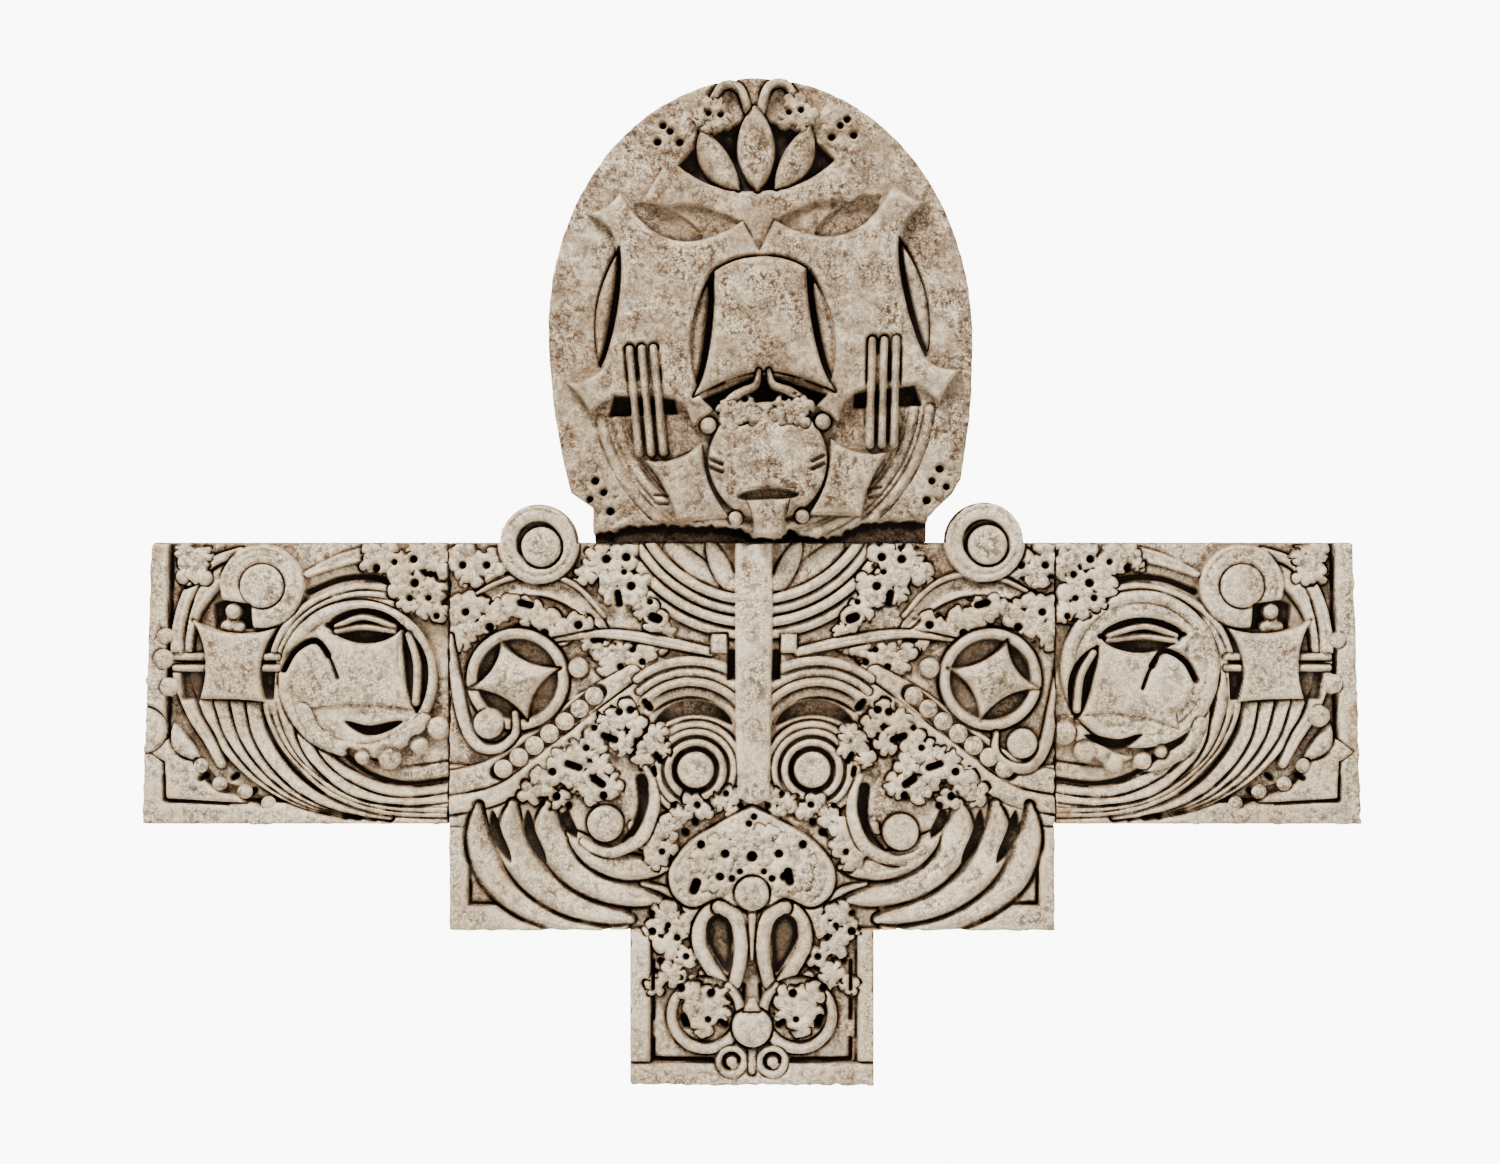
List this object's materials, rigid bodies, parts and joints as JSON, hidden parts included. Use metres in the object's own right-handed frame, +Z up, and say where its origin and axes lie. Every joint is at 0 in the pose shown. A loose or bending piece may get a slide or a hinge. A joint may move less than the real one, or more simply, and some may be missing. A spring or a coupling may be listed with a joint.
{
  "type": "wall cartouche",
  "caption": "Carved terracotta wall cartouche: an oval head on a stepped centre block with a hanging tablet below, and a wing block at each side.",
  "frame": {"origin": "on the wall side of the centre block, at the middle of its width and height without the pendant", "axes": "+X to the viewer's right along the wings, +Y into the wall, +Z up towards the oval head"},
  "size_m": [1.6126, 0.1381, 1.3301],
  "materials": {
    "terracotta": "matt, weathered and stained"
  },
  "bodies": {
    "root": {"centre_block": "terracotta", "left_wing": "terracotta", "right_wing": "terracotta", "head_block": "terracotta"}
  },
  "joints": []
}
